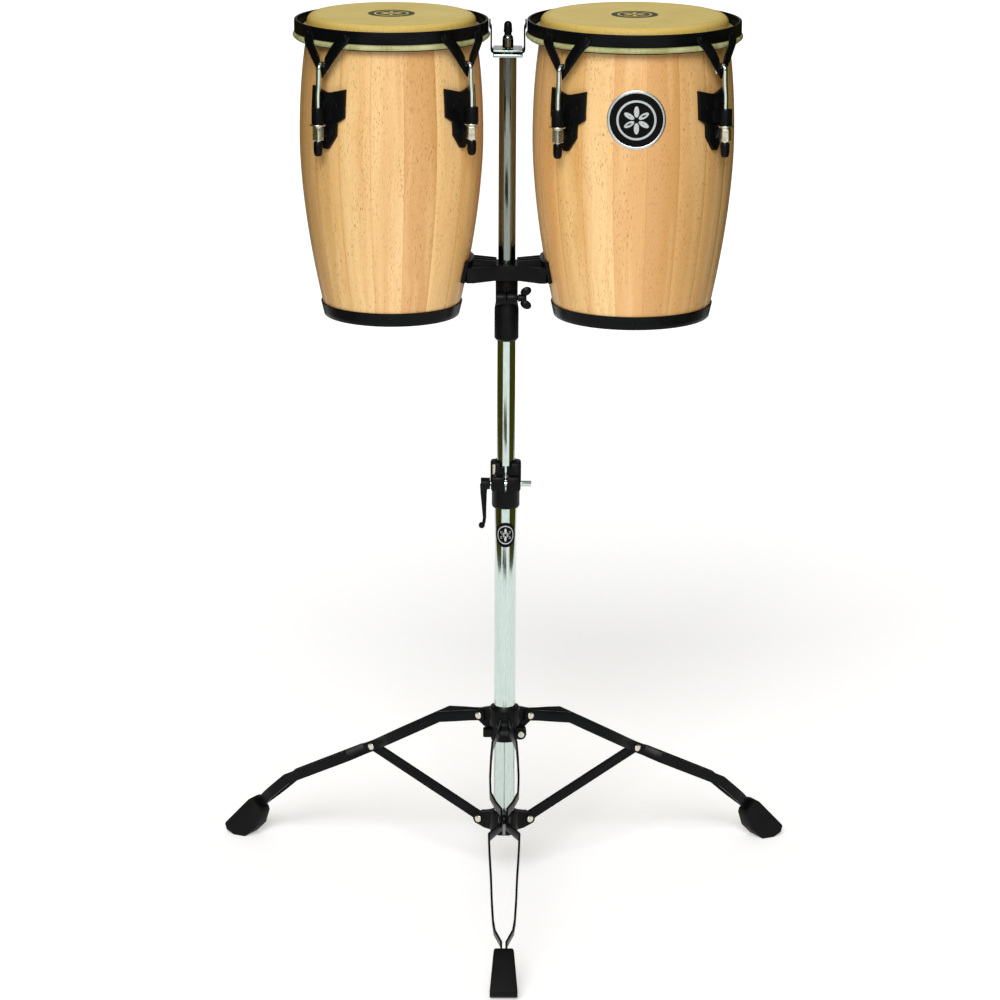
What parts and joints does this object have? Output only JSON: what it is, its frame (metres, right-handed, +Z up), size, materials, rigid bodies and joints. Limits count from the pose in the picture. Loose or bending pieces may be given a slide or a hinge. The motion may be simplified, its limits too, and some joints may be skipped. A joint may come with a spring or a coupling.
{
  "type": "conga drums on stand",
  "caption": "Small conga drums with tunable skin heads, side by side on a height-adjustable double-braced folding tripod stand.",
  "frame": {"origin": "on the floor, under the middle of the set's bounding box", "axes": "+X towards the larger drum, -Y towards the player and the front leg, +Z up"},
  "size_m": [0.732, 0.6344, 1.1123],
  "materials": {
    "blond_wood": "satin lacquer",
    "skin": "natural",
    "skin_over_ring": "natural",
    "black_coat": "gloss powder coat",
    "black_casting": "satin",
    "black_plastic": "satin",
    "chrome": "polished",
    "nickel": "plated",
    "black_rubber": "moulded"
  },
  "bodies": {
    "stand": {"lower_tube": "chrome", "height_clamp": "black_casting", "hub": "black_casting"},
    "lever": {"clamp_lever": "black_plastic", "clamp_bolt": "chrome"},
    "mast": {"upper_tube": "chrome"},
    "rack": {"post": "chrome", "saddle": "chrome", "top_plate": "chrome", "spreader": "black_plastic", "holder": "black_plastic", "left_hanger": "black_coat", "left_hoop": "black_coat", "left_flesh_ring": "skin_over_ring", "left_hook_1": "chrome", "left_hook_2": "chrome", "left_hook_3": "chrome", "left_hook_4": "chrome", "right_hanger": "black_coat", "right_hoop": "black_coat", "right_flesh_ring": "skin_over_ring", "right_hook_1": "chrome", "right_hook_2": "chrome", "right_hook_3": "chrome", "right_hook_4": "chrome"},
    "top_nut": {"top_nut": "nickel"},
    "wing_bolt": {"wing_bolt": "black_plastic"},
    "left_drum": {"left_shell": "blond_wood", "left_head": "skin", "left_bottom_ring": "black_coat", "left_lug_1": "black_casting", "left_lug_2": "black_casting", "left_lug_3": "black_casting", "left_lug_4": "black_casting"},
    "right_drum": {"right_shell": "blond_wood", "right_head": "skin", "right_bottom_ring": "black_coat", "right_lug_1": "black_casting", "right_lug_2": "black_casting", "right_lug_3": "black_casting", "right_lug_4": "black_casting"},
    "left_nut_1": {"left_nut_1": "nickel"},
    "left_nut_2": {"left_nut_2": "nickel"},
    "left_nut_3": {"left_nut_3": "nickel"},
    "left_nut_4": {"left_nut_4": "nickel"},
    "right_nut_1": {"right_nut_1": "nickel"},
    "right_nut_2": {"right_nut_2": "nickel"},
    "right_nut_3": {"right_nut_3": "nickel"},
    "right_nut_4": {"right_nut_4": "nickel"},
    "front_brace": {"front_brace": "black_coat"},
    "front_leg": {"front_leg": "black_coat", "front_foot": "black_rubber"},
    "back_right_brace": {"back_right_brace": "black_coat"},
    "back_right_leg": {"back_right_leg": "black_coat", "back_right_foot": "black_rubber"},
    "back_left_brace": {"back_left_brace": "black_coat"},
    "back_left_leg": {"back_left_leg": "black_coat", "back_left_foot": "black_rubber"},
    "collar": {"collar": "black_casting"},
    "collar_screw": {"collar_screw": "nickel"}
  },
  "joints": [
    {"name": "height", "type": "slide", "parent": "stand", "child": "mast", "axis": [0, 0, 1], "range_m": [-0.14, 0.18]},
    {"name": "rack_turn", "type": "hinge", "parent": "mast", "child": "rack", "pos_m": [0, 0.09637, 0.765], "axis": [0, 0, 1], "continuous": true},
    {"name": "clamp_lever_turn", "type": "hinge", "parent": "stand", "child": "lever", "pos_m": [0, 0.07787, 0.531], "axis": [1, 0, 0], "range_deg": [-180, 180]},
    {"name": "top_nut_turn", "type": "hinge", "parent": "rack", "child": "top_nut", "pos_m": [0, 0.09637, 1.075], "axis": [0, 0, 1], "continuous": true},
    {"name": "wing_bolt_turn", "type": "hinge", "parent": "rack", "child": "wing_bolt", "pos_m": [0, 0.08077, 0.765], "axis": [1, 0, 0], "continuous": true},
    {"name": "left_tuning", "type": "slide", "parent": "rack", "child": "left_drum", "axis": [0, 0, 1], "range_m": [-0.0015, 0.005]},
    {"name": "left_nut_1_turn", "type": "hinge", "parent": "left_drum", "child": "left_nut_1", "pos_m": [-0.05571, 0.19448, 0.982], "axis": [0, 0, 1], "range_deg": [-432, 1440]},
    {"name": "left_nut_2_turn", "type": "hinge", "parent": "left_drum", "child": "left_nut_2", "pos_m": [-0.23911, 0.18166, 0.982], "axis": [0, 0, 1], "range_deg": [-432, 1440]},
    {"name": "left_nut_3_turn", "type": "hinge", "parent": "left_drum", "child": "left_nut_3", "pos_m": [-0.22629, -0.00174, 0.982], "axis": [0, 0, 1], "range_deg": [-432, 1440]},
    {"name": "left_nut_4_turn", "type": "hinge", "parent": "left_drum", "child": "left_nut_4", "pos_m": [-0.04289, 0.01108, 0.982], "axis": [0, 0, 1], "range_deg": [-432, 1440]},
    {"name": "right_tuning", "type": "slide", "parent": "rack", "child": "right_drum", "axis": [0, 0, 1], "range_m": [-0.0015, 0.005]},
    {"name": "right_nut_1_turn", "type": "hinge", "parent": "right_drum", "child": "right_nut_1", "pos_m": [0.24616, 0.20354, 0.982], "axis": [0, 0, 1], "range_deg": [-432, 1440]},
    {"name": "right_nut_2_turn", "type": "hinge", "parent": "right_drum", "child": "right_nut_2", "pos_m": [0.04583, 0.18953, 0.982], "axis": [0, 0, 1], "range_deg": [-432, 1440]},
    {"name": "right_nut_3_turn", "type": "hinge", "parent": "right_drum", "child": "right_nut_3", "pos_m": [0.05984, -0.0108, 0.982], "axis": [0, 0, 1], "range_deg": [-432, 1440]},
    {"name": "right_nut_4_turn", "type": "hinge", "parent": "right_drum", "child": "right_nut_4", "pos_m": [0.26017, 0.00321, 0.982], "axis": [0, 0, 1], "range_deg": [-432, 1440]},
    {"name": "front_fold", "type": "hinge", "parent": "stand", "child": "front_brace", "pos_m": [0, 0.06297, 0.0842], "axis": [-1, 0, 0], "range_deg": [0, 53]},
    {"name": "front_knee", "type": "hinge", "parent": "front_brace", "child": "front_leg", "pos_m": [0, -0.09803, 0.1528], "axis": [1, 0, 0], "range_deg": [0, 106]},
    {"name": "back_right_fold", "type": "hinge", "parent": "stand", "child": "back_right_brace", "pos_m": [0.02892, 0.11307, 0.0842], "axis": [0.5, -0.866, 0], "range_deg": [0, 53]},
    {"name": "back_right_knee", "type": "hinge", "parent": "back_right_brace", "child": "back_right_leg", "pos_m": [0.16836, 0.19357, 0.1528], "axis": [-0.5, 0.866, 0], "range_deg": [0, 106]},
    {"name": "back_left_fold", "type": "hinge", "parent": "stand", "child": "back_left_brace", "pos_m": [-0.02892, 0.11307, 0.0842], "axis": [0.5, 0.866, 0], "range_deg": [0, 53]},
    {"name": "back_left_knee", "type": "hinge", "parent": "back_left_brace", "child": "back_left_leg", "pos_m": [-0.16836, 0.19357, 0.1528], "axis": [-0.5, -0.866, 0], "range_deg": [0, 106]},
    {"name": "collar_pivot", "type": "hinge", "parent": "front_leg", "child": "collar", "pos_m": [0, 0.06297, 0.2214], "axis": [-1, 0, 0], "range_deg": [0, 53]},
    {"name": "collar_screw_turn", "type": "hinge", "parent": "collar", "child": "collar_screw", "pos_m": [0.021, 0.09637, 0.203], "axis": [0, 1, 0], "continuous": true}
  ],
  "couplings": [
    {"joint": "left_nut_1_turn", "follows": "left_tuning", "rad_per_m": 5026.5},
    {"joint": "left_nut_2_turn", "follows": "left_tuning", "rad_per_m": 5026.5},
    {"joint": "left_nut_3_turn", "follows": "left_tuning", "rad_per_m": 5026.5},
    {"joint": "left_nut_4_turn", "follows": "left_tuning", "rad_per_m": 5026.5},
    {"joint": "right_nut_1_turn", "follows": "right_tuning", "rad_per_m": 5026.5},
    {"joint": "right_nut_2_turn", "follows": "right_tuning", "rad_per_m": 5026.5},
    {"joint": "right_nut_3_turn", "follows": "right_tuning", "rad_per_m": 5026.5},
    {"joint": "right_nut_4_turn", "follows": "right_tuning", "rad_per_m": 5026.5},
    {"joint": "front_knee", "follows": "front_fold", "ratio": 2},
    {"joint": "back_right_fold", "follows": "front_fold", "ratio": 1},
    {"joint": "back_right_knee", "follows": "front_fold", "ratio": 2},
    {"joint": "back_left_fold", "follows": "front_fold", "ratio": 1},
    {"joint": "back_left_knee", "follows": "front_fold", "ratio": 2},
    {"joint": "collar_pivot", "follows": "front_fold", "ratio": 1}
  ]
}
